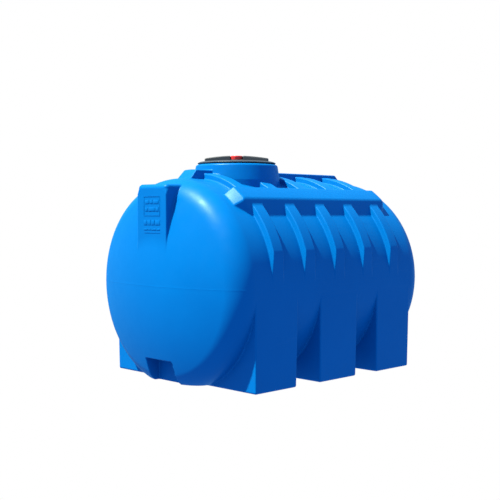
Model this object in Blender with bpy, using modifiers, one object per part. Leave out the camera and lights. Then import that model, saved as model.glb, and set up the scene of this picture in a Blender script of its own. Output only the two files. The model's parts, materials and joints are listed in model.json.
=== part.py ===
"""Horizontal rotationally moulded water tank on three hollow feet.

The tank is one thin-walled moulding: a barrel with two dished heads, three full-width feet, five rib
rings, three lengthwise rails, a label boss, an outlet recess and an off-centre neck. A lid with a grip
bar screws into the neck and carries a small breather valve. The barrel's axis runs along Y, the head
with the label boss faces -Y, Z is up, and the origin is on the ground below the middle of the barrel.
"""

import math

import bmesh
import bpy
from mathutils import Matrix, Vector

# ---- driving dimensions, in metres ----------------------------------------------------------------

GAP = 0.0003  # between solids that touch
WALL = 0.0065  # the moulding's wall
EPSILON = 0.00005  # vertices closer than this are one

BARREL_HALF_WIDTH = 0.605
BARREL_HALF_HEIGHT = 0.596
BARREL_AXIS_Z = 0.555
BARREL_UNDERSIDE_Z = 0.004  # the flat below the barrel
BARREL_STEPS = 48
APEX_Y = 0.910  # the middle of each head
DISH_RADIUS = 1.516
KNUCKLE_RADIUS = 0.145  # the bend between a head's dish and the straight barrel
DISH_STEPS = 4
KNUCKLE_STEPS = 4

FOOT_LENGTH = 0.317
FOOT_PITCH = 0.514
FOOT_HALF_WIDTH = 0.5955
FOOT_TOP_Z = 0.555
FOOT_DRAFT = math.tan(math.radians(0.75))
FOOT_EDGE_RADIUS = 0.012

RIB_PITCH = 0.2557
RIB_COUNT = 5
RIB_HEIGHT = 0.033
RIB_CREST = 0.078
RIB_BASE = 0.088
RIB_END_TOP = (0.610, 0.714)  # X and Z where a rib's outer face stops
RIB_END_FOOT = (0.6035, 0.613)  # X and Z where the face below it runs into the barrel

RAIL_HEIGHT = 0.054
RAIL_BASE_Y = 0.657  # half the rail's length where it leaves the barrel
RAIL_CREST_Y = 0.606
CROWN_RAIL_BASE = 0.060  # half-widths of the rail on the crown
CROWN_RAIL_CREST = 0.054
SIDE_RAIL_INNER = ((0.331, 1.056), (0.354, 1.095))  # X and Z, from base to crest
SIDE_RAIL_OUTER = ((0.462, 0.938), (0.4405, 1.038))
SIDE_RAIL_FACET = ((0.4053, 0.661, 0.9975), (0.461, 0.5685, 0.9398), (0.441, 0.619, 1.0403))

NECK_Y = -0.2395
NECK_TOP_Z = 1.2425
NECK_TOP_RADIUS = 0.2435
NECK_BASE_RADIUS = 0.257
NECK_BASE_Z = 1.150
NECK_SHOULDER = 0.012
NECK_STEPS = 48
MOUTH_RADIUS = 0.2035
SLEEVE_RADIUS = 0.2165  # the outside of the threaded sleeve inside the neck
SLEEVE_DEPTH = 0.048

BOSS_HALF_WIDTH = 0.1264
BOSS_TOP_Z = 1.115
BOSS_BOTTOM_Z = 0.600
BOSS_FACE_Y = -0.8895
BOSS_BACK_Y = -0.600
BOSS_TOP_RADIUS = 0.022

RECESS_HALF_WIDTH = 0.113
RECESS_TOP_Z = 0.140
RECESS_BACK_Y = -0.746

THREAD_PITCH = 0.012
THREAD_HEIGHT = 0.005
THREAD_STEPS_A_TURN = 32
LID_THREAD_TURNS = 1.5
LID_THREAD_DROP = 0.028  # from the flange's underside to the thread's lower end
GROOVE_CLEARANCE = 0.001

GASKET_THICKNESS = 0.003
GASKET_INNER = 0.2095
GASKET_OUTER = 0.2235

FLANGE_Z = NECK_TOP_Z + GASKET_THICKNESS + 2 * GAP  # the lid's flange rests here
FLANGE_RADIUS = 0.2335
FLANGE_THICKNESS = 0.0140
FLANGE_RIM = 0.0065  # the upright part of its edge, below the chamfer
FLANGE_CHAMFER = 0.0150  # how far in the chamfer runs
PLUG_RADIUS = 0.2010
PLUG_WALL = 0.005
PLUG_DEPTH = 0.034
LID_PLATE = 0.0045
LID_CENTRE_Z = FLANGE_Z + 0.0190
LID_STEPS = 48

GRIP_ANGLE = math.radians(45)  # the way the grip bar points when the lid is tight
GRIP_HALF_LENGTH = 0.190
GRIP_HALF_WIDTH = 0.043
GRIP_END_Z = 1.281
GRIP_CROWN_Z = 1.297
GRIP_WALL = 0.004
POCKET_RADIUS = 0.0385  # the vent's pocket, round at the back and open at the front
POCKET_Z = 1.2735

VENT_STEPS = 24
VENT_HOLE_RADIUS = 0.0168
VENT_STEM_RADIUS = 0.0162
VENT_BORE_RADIUS = 0.0115
VENT_STEM_BOTTOM_Z = 1.2560
VENT_FLANGE_RADIUS = 0.0245
VENT_FLANGE_THICKNESS = 0.0030
VENT_TUBE_RADIUS = 0.0215
VENT_CHAMBER_RADIUS = 0.0175
VENT_TUBE_TOP_Z = 1.2860
VENT_GASKET_THICKNESS = 0.0015
DISC_RADIUS = 0.0165
DISC_THICKNESS = 0.0022
DISC_LIFT = 0.003
CAP_TOP_Z = 1.2975
CAP_CEILING_Z = 1.2925
CAP_BOTTOM_Z = 1.2748
CAP_TOP_RADIUS = 0.0352
CAP_BOTTOM_RADIUS = 0.0312
CAP_WALL = 0.0020
CAP_SLEEVE_WALL = 0.0022
CAP_SLOT_WIDTH = 0.006
NUT_RADIUS = 0.0235
NUT_THICKNESS = 0.007
SCREEN_THICKNESS = 0.0012
SCREEN_HOLE = 0.0040
SCREEN_PITCH = 0.0052

COLOURS = {  # base colour, roughness
    "tank_blue": ((0.0, 0.23, 0.86), 0.38),
    "lid_black": ((0.035, 0.042, 0.050), 0.45),
    "rubber_black": ((0.02, 0.02, 0.02), 0.75),
    "vent_red": ((0.90, 0.045, 0.05), 0.35),
    "vent_grey": ((0.25, 0.26, 0.27), 0.50),
    "silicone": ((0.62, 0.60, 0.55), 0.60),
}


# ---- modelling tools ------------------------------------------------------------------------------


def clear_scene():
    for item in list(bpy.data.objects):
        bpy.data.objects.remove(item, do_unlink=True)


def collection(name, hidden=False):
    made = bpy.data.collections.new(name)
    made.hide_render = hidden
    bpy.context.scene.collection.children.link(made)
    return made


def material(name):
    colour, roughness = COLOURS[name]
    made = bpy.data.materials.new(name)
    made.use_nodes = True
    shader = made.node_tree.nodes["Principled BSDF"]
    shader.inputs["Base Color"].default_value = (*colour, 1.0)
    shader.inputs["Roughness"].default_value = roughness
    shader.inputs["Metallic"].default_value = 0.0
    return made


def blank(name, mesh=None):
    """An object in the workshop collection, where shapes are made before they become a part."""
    made = bpy.data.objects.new(name, mesh or bpy.data.meshes.new(name))
    made.display_type = "WIRE"
    made.hide_render = True
    workshop.objects.link(made)
    return made


def take_evaluated(item):
    """Replace the object's mesh by its evaluated one and drop its modifiers."""
    graph = bpy.context.evaluated_depsgraph_get()
    mesh = bpy.data.meshes.new_from_object(item.evaluated_get(graph), depsgraph=graph)
    item.modifiers.clear()
    item.data = mesh


def weld(mesh):
    work = bmesh.new()
    work.from_mesh(mesh)
    bmesh.ops.remove_doubles(work, verts=work.verts, dist=EPSILON)
    bmesh.ops.recalc_face_normals(work, faces=work.faces)
    work.to_mesh(mesh)
    work.free()


def box(name, low, high):
    """A box between two corners."""
    low, high = Vector(low), Vector(high)
    work = bmesh.new()
    bmesh.ops.create_cube(work, size=1.0)
    bmesh.ops.scale(work, vec=high - low, verts=work.verts)
    bmesh.ops.translate(work, vec=(high + low) / 2, verts=work.verts)
    made = blank(name)
    work.to_mesh(made.data)
    work.free()
    return made


def turned(name, profile, steps, closed=False):
    """A body turned about Z from (radius, z) points that run down its outer side."""
    mesh = bpy.data.meshes.new(name)
    edges = [(i, i + 1) for i in range(len(profile) - 1)]
    if closed:
        edges.append((len(profile) - 1, 0))
    mesh.from_pydata([(r, 0.0, z) for r, z in profile], edges, [])
    made = blank(name, mesh)
    screw = made.modifiers.new("turn", "SCREW")
    screw.axis = "Z"
    screw.steps = steps
    screw.render_steps = steps
    screw.use_merge_vertices = True
    screw.merge_threshold = EPSILON
    take_evaluated(made)
    weld(made.data)
    return made


def extruded(name, outline, half_depth):
    """A flat XZ outline extruded both ways along Y."""
    curve = bpy.data.curves.new(name, "CURVE")
    curve.dimensions = "2D"
    curve.fill_mode = "BOTH"
    curve.extrude = half_depth
    spline = curve.splines.new("POLY")
    spline.points.add(len(outline) - 1)
    for point, (x, z) in zip(spline.points, outline):
        point.co = (x, z, 0.0, 1.0)
    spline.use_cyclic_u = True
    drawn = bpy.data.objects.new(name + "_outline", curve)
    workshop.objects.link(drawn)
    graph = bpy.context.evaluated_depsgraph_get()
    mesh = bpy.data.meshes.new_from_object(drawn.evaluated_get(graph), depsgraph=graph)
    bpy.data.objects.remove(drawn, do_unlink=True)
    mesh.transform(Matrix.Rotation(math.pi / 2, 4, "X"))
    weld(mesh)
    return blank(name, mesh)


def helix(name, section, turns, z_start):
    """A closed thread ridge: a section of (radius, z) points swept up a right-hand helix."""
    work = bmesh.new()
    corners = [work.verts.new((r, 0.0, z + z_start)) for r, z in section]
    face = work.faces.new(corners)
    steps = round(THREAD_STEPS_A_TURN * turns)
    bmesh.ops.spin(
        work,
        geom=[face, *face.edges, *face.verts],
        cent=(0, 0, 0),
        axis=(0, 0, 1),
        dvec=(0, 0, THREAD_PITCH * turns / steps),
        angle=2 * math.pi * turns,
        steps=steps,
        use_duplicate=False,
    )
    bmesh.ops.recalc_face_normals(work, faces=work.faces)
    made = blank(name)
    work.to_mesh(made.data)
    work.free()
    return made


def combine(target, tool, operation):
    """Boolean the tool into the target, and throw the tool away.

    The tank's many nearly tangent faces leave open edges with the exact solver, so all the cuts use
    the manifold one, which needs both bodies closed.
    """
    step = target.modifiers.new("combine", "BOOLEAN")
    step.operation = operation
    step.solver = "MANIFOLD"
    step.object = tool
    bpy.context.view_layer.update()
    take_evaluated(target)
    bpy.data.objects.remove(tool, do_unlink=True)
    return target


def moved(item, matrix):
    item.data.transform(matrix)
    return item


def finish(item, name, colour, angle=35):
    """Turn a workshop shape into a named part."""
    work = bmesh.new()
    work.from_mesh(item.data)
    bmesh.ops.dissolve_degenerate(work, dist=EPSILON / 5, edges=work.edges)
    bmesh.ops.triangulate(work, faces=[face for face in work.faces if len(face.verts) > 4])
    work.to_mesh(item.data)
    work.free()
    item.name = name
    item.data.name = name
    item.data.materials.clear()
    item.data.materials.append(materials[colour])
    item.data.shade_smooth()
    item.data.set_sharp_from_angle(angle=math.radians(angle))
    workshop.objects.unlink(item)
    parts.objects.link(item)
    item.hide_render = False
    item.display_type = "TEXTURED"
    return item


def origin_to(item, point):
    """Put an object's origin on a point without moving its shape."""
    item.data.transform(Matrix.Translation(-Vector(point)))
    item.location = point
    return item


# ---- the tank's shape -----------------------------------------------------------------------------


def ring(name, profile, inset):
    """A sleeve round the barrel: (Y, height above the barrel) points, turned about the barrel's axis."""
    radius = BARREL_HALF_WIDTH - inset
    squash = (BARREL_HALF_HEIGHT - inset) / radius
    made = turned(name, [(radius + height, -y) for y, height in profile], BARREL_STEPS, closed=True)
    turn = Matrix.Rotation(math.pi / 2, 4, "X")
    place = Matrix.Translation((0, 0, BARREL_AXIS_Z))
    return moved(made, place @ Matrix.Diagonal((1, 1, squash, 1)) @ turn)


def head_profile(inset):
    """(Radius, Y) points from a head's middle over its dish and its knuckle to the straight barrel."""
    out = BARREL_HALF_WIDTH - KNUCKLE_RADIUS
    dish_y = APEX_Y - DISH_RADIUS
    knuckle_y = dish_y + math.sqrt((DISH_RADIUS - KNUCKLE_RADIUS) ** 2 - out**2)
    lean = math.asin(out / (DISH_RADIUS - KNUCKLE_RADIUS))
    dish, knuckle = DISH_RADIUS - inset, KNUCKLE_RADIUS - inset
    profile = []
    for i in range(DISH_STEPS):
        turn = lean * i / DISH_STEPS
        profile.append((dish * math.sin(turn), dish_y + dish * math.cos(turn)))
    for i in range(KNUCKLE_STEPS + 1):
        turn = lean + (math.pi / 2 - lean) * i / KNUCKLE_STEPS
        profile.append((out + knuckle * math.sin(turn), knuckle_y + knuckle * math.cos(turn)))
    return profile


def barrel(inset):
    """The barrel and its two dished heads, cut flat below."""
    head = head_profile(inset)
    made = turned("barrel", head + [(r, -y) for r, y in reversed(head)], BARREL_STEPS)
    squash = (BARREL_HALF_HEIGHT - inset) / (BARREL_HALF_WIDTH - inset)
    turn = Matrix.Rotation(math.pi / 2, 4, "X")
    place = Matrix.Translation((0, 0, BARREL_AXIS_Z))
    moved(made, place @ Matrix.Diagonal((1, 1, squash, 1)) @ turn)
    below = box("below", (-1, -1, -1), (1, 1, BARREL_UNDERSIDE_Z + inset))
    return combine(made, below, "DIFFERENCE")


def foot(centre_y, inset):
    """One hollow foot, narrower at the ground by the mould's draft."""
    half_x = FOOT_HALF_WIDTH - inset
    half_y = FOOT_LENGTH / 2 - inset
    made = box("foot", (-half_x, -half_y, inset), (half_x, half_y, FOOT_TOP_Z))
    work = bmesh.new()
    work.from_mesh(made.data)
    for corner in work.verts:
        grow = FOOT_DRAFT * corner.co.z
        corner.co.x += math.copysign(grow, corner.co.x)
        corner.co.y += math.copysign(grow, corner.co.y)
    rounded = [edge for edge in work.edges if min(v.co.z for v in edge.verts) < FOOT_TOP_Z / 2]
    bmesh.ops.bevel(
        work,
        geom=rounded,
        offset=max(FOOT_EDGE_RADIUS - inset, 0.004),
        segments=2 if inset == 0 else 1,
        profile=0.5,
        affect="EDGES",
    )
    work.to_mesh(made.data)
    work.free()
    return moved(made, Matrix.Translation((0, centre_y, 0)))


def ribs(inset):
    """The rib rings, stopped on each side above the parting line by a nearly upright face."""
    crest, base = RIB_CREST / 2 - inset, RIB_BASE / 2 - inset
    sunk = -0.025
    made = None
    for i in range(RIB_COUNT):
        y = RIB_PITCH * (i - (RIB_COUNT - 1) / 2)
        root = base + (crest - base) * sunk / RIB_HEIGHT
        profile = [(y - root, sunk), (y - crest, RIB_HEIGHT), (y + crest, RIB_HEIGHT), (y + root, sunk)]
        band = ring("rib", profile, inset)
        made = band if made is None else combine(made, band, "UNION")
    (top_x, top_z), (foot_x, foot_z) = RIB_END_TOP, RIB_END_FOOT
    roof_z = BARREL_AXIS_Z + BARREL_HALF_HEIGHT + 2 * RIB_HEIGHT
    half = [(foot_x - inset, foot_z + inset), (top_x - inset, top_z), (top_x - inset, roof_z)]
    envelope = extruded("envelope", half + [(-x, z) for x, z in reversed(half)], 1.0)
    return combine(made, envelope, "INTERSECT")


def offset_line(line, inset, side):
    """Move a line of two XZ points sideways by inset, and stretch it well past both ends."""
    base, crest = Vector(line[0]), Vector(line[1])
    along = (crest - base).normalized()
    across = Vector((along.y, -along.x)) * side * inset
    return base + across - along * 0.05, crest + across + along * 0.03


def rails(inset):
    """Three lengthwise rails with sloping ends, one on the crown and one on each shoulder."""
    crest_y, base_y = RAIL_CREST_Y - inset, RAIL_BASE_Y - inset
    sunk = -0.040
    slope = (base_y - crest_y) / RAIL_HEIGHT
    end_y = base_y - slope * sunk
    profile = [(-end_y, sunk), (-crest_y, RAIL_HEIGHT), (crest_y, RAIL_HEIGHT), (end_y, sunk)]
    sleeve = ring("sleeve", profile, inset)

    crown_z = BARREL_AXIS_Z + BARREL_HALF_HEIGHT
    taper = (CROWN_RAIL_BASE - CROWN_RAIL_CREST) / RAIL_HEIGHT
    low_x = CROWN_RAIL_BASE - inset + 0.06 * taper
    high_x = CROWN_RAIL_CREST - inset - 0.03 * taper
    low_z, high_z = crown_z - 0.06, crown_z + RAIL_HEIGHT + 0.03
    crown = [(-low_x, low_z), (low_x, low_z), (high_x, high_z), (-high_x, high_z)]
    sections = extruded("sections", crown, 1.0)
    inner_low, inner_high = offset_line(SIDE_RAIL_INNER, inset, 1)
    outer_low, outer_high = offset_line(SIDE_RAIL_OUTER, inset, -1)
    corners = (inner_low, outer_low, outer_high, inner_high)
    for side in (1, -1):
        combine(sections, extruded("section", [(side * c.x, c.y) for c in corners], 1.0), "UNION")
    combine(sleeve, sections, "INTERSECT")

    for side in (1, -1):
        for end in (1, -1):
            a, b, c = [Vector((side * x, end * y, z)) for x, y, z in SIDE_RAIL_FACET]
            normal = (b - a).cross(c - a).normalized()
            normal *= math.copysign(1.0, normal.x * side)
            reach = 0.2
            wedge = box("wedge", (-reach, -reach, 0), (reach, reach, reach))
            middle = (a + b + c) / 3 - normal * inset
            moved(wedge, Matrix.Translation(middle) @ normal.to_track_quat("Z", "Y").to_matrix().to_4x4())
            combine(sleeve, wedge, "DIFFERENCE")
    return sleeve


def neck(inset):
    """The neck's outside, flaring downward, with a rounded shoulder below the lid."""
    top = NECK_TOP_Z - inset
    radius = NECK_TOP_RADIUS - inset
    bend = NECK_SHOULDER - (inset / 2)
    profile = [(0.0, top)]
    for i in range(4):
        turn = math.pi / 2 * i / 3
        profile.append((radius - bend + bend * math.sin(turn), top - bend + bend * math.cos(turn)))
    profile.append((NECK_BASE_RADIUS - inset, NECK_BASE_Z))
    profile.append((NECK_BASE_RADIUS - inset, NECK_BASE_Z - 0.11))
    profile.append((0.0, NECK_BASE_Z - 0.11))
    return moved(turned("neck", profile, NECK_STEPS), Matrix.Translation((0, NECK_Y, 0)))


def boss(inset):
    """The label boss, with an upright face that runs out into the head's dish below."""
    half = BOSS_HALF_WIDTH - inset
    low = (-half, BOSS_FACE_Y + inset, BOSS_BOTTOM_Z)
    high = (half, BOSS_BACK_Y, BOSS_TOP_Z - inset)
    made = box("boss", low, high)
    work = bmesh.new()
    work.from_mesh(made.data)
    top = [edge for edge in work.edges if min(v.co.z for v in edge.verts) > BOSS_BOTTOM_Z + 0.1]
    rounded = [edge for edge in top if min(v.co.y for v in edge.verts) < BOSS_FACE_Y + 0.1]
    bmesh.ops.bevel(
        work,
        geom=rounded,
        offset=BOSS_TOP_RADIUS - inset / 2,
        segments=2,
        profile=0.5,
        affect="EDGES",
    )
    work.to_mesh(made.data)
    work.free()
    return made


def recess(inset):
    """The pocket at the foot of the head, whose flat back wall takes the outlet."""
    half = RECESS_HALF_WIDTH + inset
    return box("recess", (-half, -1.0, -0.1), (half, RECESS_BACK_Y + inset, RECESS_TOP_Z + inset))


def body(inset):
    """The whole outer shape, or with an inset the cavity inside it."""
    made = barrel(inset)
    for i in (-1, 0, 1):
        combine(made, foot(i * FOOT_PITCH, inset), "UNION")
    combine(made, ribs(inset), "UNION")
    combine(made, rails(inset), "UNION")
    combine(made, boss(inset), "UNION")
    combine(made, neck(inset), "UNION")
    return combine(made, recess(inset), "DIFFERENCE")


def tank_shell():
    made = body(0.0)
    combine(made, body(WALL), "DIFFERENCE")
    at_neck = Matrix.Translation((0, NECK_Y, 0))
    plug_top, plug_bottom = NECK_TOP_Z - WALL / 2, NECK_TOP_Z - SLEEVE_DEPTH
    core = [(0.0, plug_top), (SLEEVE_RADIUS, plug_top), (SLEEVE_RADIUS, plug_bottom), (0.0, plug_bottom)]
    combine(made, moved(turned("core", core, NECK_STEPS), at_neck), "UNION")
    mouth_top, mouth_bottom = NECK_TOP_Z + 0.02, NECK_TOP_Z - SLEEVE_DEPTH - 0.02
    hole = [(0.0, mouth_top), (MOUTH_RADIUS, mouth_top), (MOUTH_RADIUS, mouth_bottom), (0.0, mouth_bottom)]
    combine(made, moved(turned("mouth", hole, NECK_STEPS), at_neck), "DIFFERENCE")
    combine(made, moved(neck_groove(), at_neck), "DIFFERENCE")
    return finish(made, "tank_shell", "tank_blue")


# ---- the screw thread -----------------------------------------------------------------------------


def thread_section(inner, outer, base_width, crest_width):
    """A trapezoid tooth pointing outward, as (radius, z) points centred on z = 0."""
    low, high = base_width / 2, crest_width / 2
    return [(inner, -low), (outer, -high), (outer, high), (inner, low)]


def lid_thread():
    """The ridge on the lid's plug. Its middle is LID_THREAD_DROP below the flange at angle zero."""
    section = thread_section(PLUG_RADIUS - 0.001, MOUTH_RADIUS + THREAD_HEIGHT - 0.0015, 0.0062, 0.003)
    return helix("lid_thread", section, LID_THREAD_TURNS, FLANGE_Z - LID_THREAD_DROP)


def neck_groove():
    """The groove the ridge runs in, a little wider and deeper, from below the ridge out of the top."""
    below = 0.5  # turns of groove below the ridge's lower end
    start = FLANGE_Z - LID_THREAD_DROP - below * THREAD_PITCH
    turns = math.ceil((NECK_TOP_Z + 0.008 - start) / THREAD_PITCH * 4) / 4
    clear = 2 * GROOVE_CLEARANCE
    inner, outer = MOUTH_RADIUS - 0.003, MOUTH_RADIUS + THREAD_HEIGHT
    section = thread_section(inner, outer, 0.0090 + clear, 0.003 + clear)
    made = helix("neck_groove", section, turns, start)
    return moved(made, Matrix.Rotation(-2 * math.pi * below, 4, "Z"))


# ---- the lid --------------------------------------------------------------------------------------


def lid():
    """The lid: a plug with a thread, a flange, a shallow cone and a hollow grip bar."""
    rim_top = FLANGE_Z + FLANGE_THICKNESS
    inner = PLUG_RADIUS - PLUG_WALL
    profile = [
        (0.0, LID_CENTRE_Z),
        (0.045, LID_CENTRE_Z),
        (FLANGE_RADIUS - FLANGE_CHAMFER, rim_top),
        (FLANGE_RADIUS - 0.0015, FLANGE_Z + FLANGE_RIM + 0.0012),
        (FLANGE_RADIUS, FLANGE_Z + FLANGE_RIM),
        (FLANGE_RADIUS, FLANGE_Z + 0.0015),
        (FLANGE_RADIUS - 0.0015, FLANGE_Z),
        (PLUG_RADIUS, FLANGE_Z),
        (PLUG_RADIUS, FLANGE_Z - PLUG_DEPTH + 0.002),
        (PLUG_RADIUS - 0.002, FLANGE_Z - PLUG_DEPTH),
        (inner, FLANGE_Z - PLUG_DEPTH),
        (inner, rim_top - LID_PLATE),
        (0.045, LID_CENTRE_Z - LID_PLATE),
        (0.0, LID_CENTRE_Z - LID_PLATE),
    ]
    made = turned("lid", profile, LID_STEPS)
    combine(made, grip(0.0), "UNION")
    combine(made, grip(GRIP_WALL), "DIFFERENCE")
    combine(made, lid_thread(), "UNION")
    hole = [(0.0, 1.35), (VENT_HOLE_RADIUS, 1.35), (VENT_HOLE_RADIUS, 1.22), (0.0, 1.22)]
    combine(made, turned("vent_hole", hole, VENT_STEPS), "DIFFERENCE")
    moved(made, Matrix.Translation((0, NECK_Y, 0)))
    return origin_to(finish(made, "lid", "lid_black"), (0, NECK_Y, FLANGE_Z))


def grip(inset):
    """The grip bar with its crowned top and the pocket for the vent, or the hollow inside it."""
    bottom = FLANGE_Z + (0.006 if inset == 0 else -0.004)
    half, width = GRIP_HALF_LENGTH - inset, GRIP_HALF_WIDTH - inset
    drop = GRIP_CROWN_Z - GRIP_END_Z
    corner = 0.010
    crest = []
    for i in range(6):
        x = 0.02 + (half - corner - 0.02) * i / 5
        crest.append((x, GRIP_CROWN_Z - inset - drop * (x / GRIP_HALF_LENGTH) ** 2))
    end = [(half - 0.003, crest[-1][1] - 0.004), (half, crest[-1][1] - 0.012), (half + 0.002, bottom)]
    right = [*crest, *end]
    outline = right + [(-x, z) for x, z in reversed(right)]
    made = extruded("grip", outline, width)
    combine(made, pocket(inset), "DIFFERENCE")
    return moved(made, Matrix.Rotation(GRIP_ANGLE, 4, "Z"))


def pocket(inset):
    """The vent's pocket, or the same grown by a wall's thickness."""
    radius, floor, roof = POCKET_RADIUS + inset, POCKET_Z - inset, GRIP_CROWN_Z + 0.02
    back = [(0.0, roof), (radius, roof), (radius, floor), (0.0, floor)]
    made = turned("pocket", back, VENT_STEPS)
    return combine(made, box("front", (-radius, -0.1, floor), (radius, 0, roof)), "UNION")


def lid_gasket():
    low, high = NECK_TOP_Z + GAP, FLANGE_Z - GAP
    profile = [(GASKET_OUTER, high), (GASKET_OUTER, low), (GASKET_INNER, low), (GASKET_INNER, high)]
    made = turned("gasket", profile, LID_STEPS, closed=True)
    moved(made, Matrix.Translation((0, NECK_Y, 0)))
    return origin_to(finish(made, "lid_gasket", "rubber_black"), (0, NECK_Y, low))


# ---- the breather valve ---------------------------------------------------------------------------

VENT_FLANGE_Z = POCKET_Z + VENT_GASKET_THICKNESS + 2 * GAP
VENT_SEAT_Z = VENT_FLANGE_Z + VENT_FLANGE_THICKNESS


def at_vent(item, name, colour, z):
    moved(item, Matrix.Translation((0, NECK_Y, 0)))
    return origin_to(finish(item, name, colour), (0, NECK_Y, z))


def vent_body():
    profile = [
        (VENT_TUBE_RADIUS, VENT_TUBE_TOP_Z),
        (VENT_TUBE_RADIUS, VENT_SEAT_Z),
        (VENT_FLANGE_RADIUS, VENT_SEAT_Z),
        (VENT_FLANGE_RADIUS, VENT_FLANGE_Z),
        (VENT_STEM_RADIUS, VENT_FLANGE_Z),
        (VENT_STEM_RADIUS, VENT_STEM_BOTTOM_Z),
        (VENT_BORE_RADIUS, VENT_STEM_BOTTOM_Z),
        (VENT_BORE_RADIUS, VENT_SEAT_Z),
        (VENT_CHAMBER_RADIUS, VENT_SEAT_Z),
        (VENT_CHAMBER_RADIUS, VENT_TUBE_TOP_Z),
    ]
    made = turned("body", profile, VENT_STEPS, closed=True)
    return at_vent(made, "vent_body", "vent_grey", VENT_FLANGE_Z)


def vent_gasket():
    low, high = POCKET_Z + GAP, VENT_FLANGE_Z - GAP
    outer, inner = VENT_FLANGE_RADIUS - 0.0005, VENT_STEM_RADIUS + GAP
    profile = [(outer, high), (outer, low), (inner, low), (inner, high)]
    made = turned("ring", profile, VENT_STEPS, closed=True)
    return at_vent(made, "vent_gasket", "rubber_black", low)


def vent_disc():
    low = VENT_SEAT_Z + GAP
    high = low + DISC_THICKNESS
    edge = DISC_RADIUS - 0.0006
    profile = [(0.0, high), (edge, high), (DISC_RADIUS, high - 0.0006), (DISC_RADIUS, low), (0.0, low)]
    return at_vent(turned("disc", profile, VENT_STEPS), "vent_disc", "silicone", low)


def vent_cap():
    """The red cap: a rain hood that widens upward, pushed over the tube by a slotted sleeve."""
    disc_top = VENT_SEAT_Z + GAP + DISC_THICKNESS
    stop_z = disc_top + DISC_LIFT + GAP
    inner = VENT_TUBE_RADIUS + GAP
    sleeve = inner + CAP_SLEEVE_WALL
    sleeve_z = VENT_SEAT_Z + GAP
    profile = [
        (0.0, CAP_TOP_Z),
        (CAP_TOP_RADIUS - 0.010, CAP_TOP_Z - 0.0004),
        (CAP_TOP_RADIUS - 0.0015, CAP_TOP_Z - 0.0016),
        (CAP_TOP_RADIUS, CAP_TOP_Z - 0.0034),
        (CAP_BOTTOM_RADIUS, CAP_BOTTOM_Z),
        (CAP_BOTTOM_RADIUS - CAP_WALL, CAP_BOTTOM_Z),
        (CAP_TOP_RADIUS - CAP_WALL - 0.0015, CAP_CEILING_Z),
        (sleeve, CAP_CEILING_Z),
        (sleeve, sleeve_z),
        (inner, sleeve_z),
        (inner, CAP_CEILING_Z),
        (0.004, CAP_CEILING_Z),
        (0.004, stop_z),
        (0.0, stop_z),
    ]
    made = turned("cap", profile, VENT_STEPS)
    low_z, high_z = sleeve_z - 0.001, CAP_CEILING_Z - 0.001
    reach = sleeve + 0.0004
    half = CAP_SLOT_WIDTH / 2
    for turn in (0, math.pi / 2, math.pi, 3 * math.pi / 2):
        slot = box("slot", (inner - 0.0015, -half, low_z), (reach, half, high_z))
        combine(made, moved(slot, Matrix.Rotation(turn + math.pi / 4, 4, "Z")), "DIFFERENCE")
    return at_vent(made, "vent_cap", "vent_red", CAP_BOTTOM_Z)


def vent_nut():
    """A hexagon nut under the pocket's floor."""
    high = POCKET_Z - GRIP_WALL - GAP
    low = high - NUT_THICKNESS
    profile = [(0.0, high), (NUT_RADIUS, high), (NUT_RADIUS, low), (0.0, low)]
    made = turned("nut", profile, 6)
    bore = VENT_STEM_RADIUS + GAP
    hole = [(0.0, high + 0.01), (bore, high + 0.01), (bore, low - 0.01), (0.0, low - 0.01)]
    combine(made, turned("nut_bore", hole, VENT_STEPS), "DIFFERENCE")
    return at_vent(made, "vent_nut", "vent_grey", low)


def vent_screen():
    """A disc with square holes that keeps insects out of the stem's bore."""
    low = VENT_STEM_BOTTOM_Z + 0.001
    high = low + SCREEN_THICKNESS
    radius = VENT_BORE_RADIUS - GAP
    profile = [(0.0, high), (radius, high), (radius, low), (0.0, low)]
    made = turned("screen", profile, VENT_STEPS)
    half = SCREEN_HOLE / 2
    for column in (-1, 0, 1):
        for row in (-1, 0, 1):
            x, y = column * SCREEN_PITCH, row * SCREEN_PITCH
            hole = box("hole", (x - half, y - half, low - 0.001), (x + half, y + half, high + 0.001))
            combine(made, hole, "DIFFERENCE")
    return at_vent(made, "vent_screen", "vent_grey", low)


# ---- assembly -------------------------------------------------------------------------------------

clear_scene()
parts = collection("water_tank")
workshop = collection("workshop", hidden=True)
materials = {name: material(name) for name in COLOURS}

tank_shell()
lid()
lid_gasket()
vent_body()
vent_gasket()
vent_cap()
vent_disc()
vent_nut()
vent_screen()
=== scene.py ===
"""Looks of a horizontal moulded water tank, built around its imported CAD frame.

The blue moulding is described once as a distance field, a formula that says how far a point lies from
the tank's skin. Its sharp junctions are rounded there as the mould rounds them, and a mesh is then
wrapped on the field's zero level. The lid is made the same way. The gasket and the rain hood are turned.
"""

import json
import math

import bmesh
import bpy
import numpy as np
from mathutils import Matrix, Vector


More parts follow.
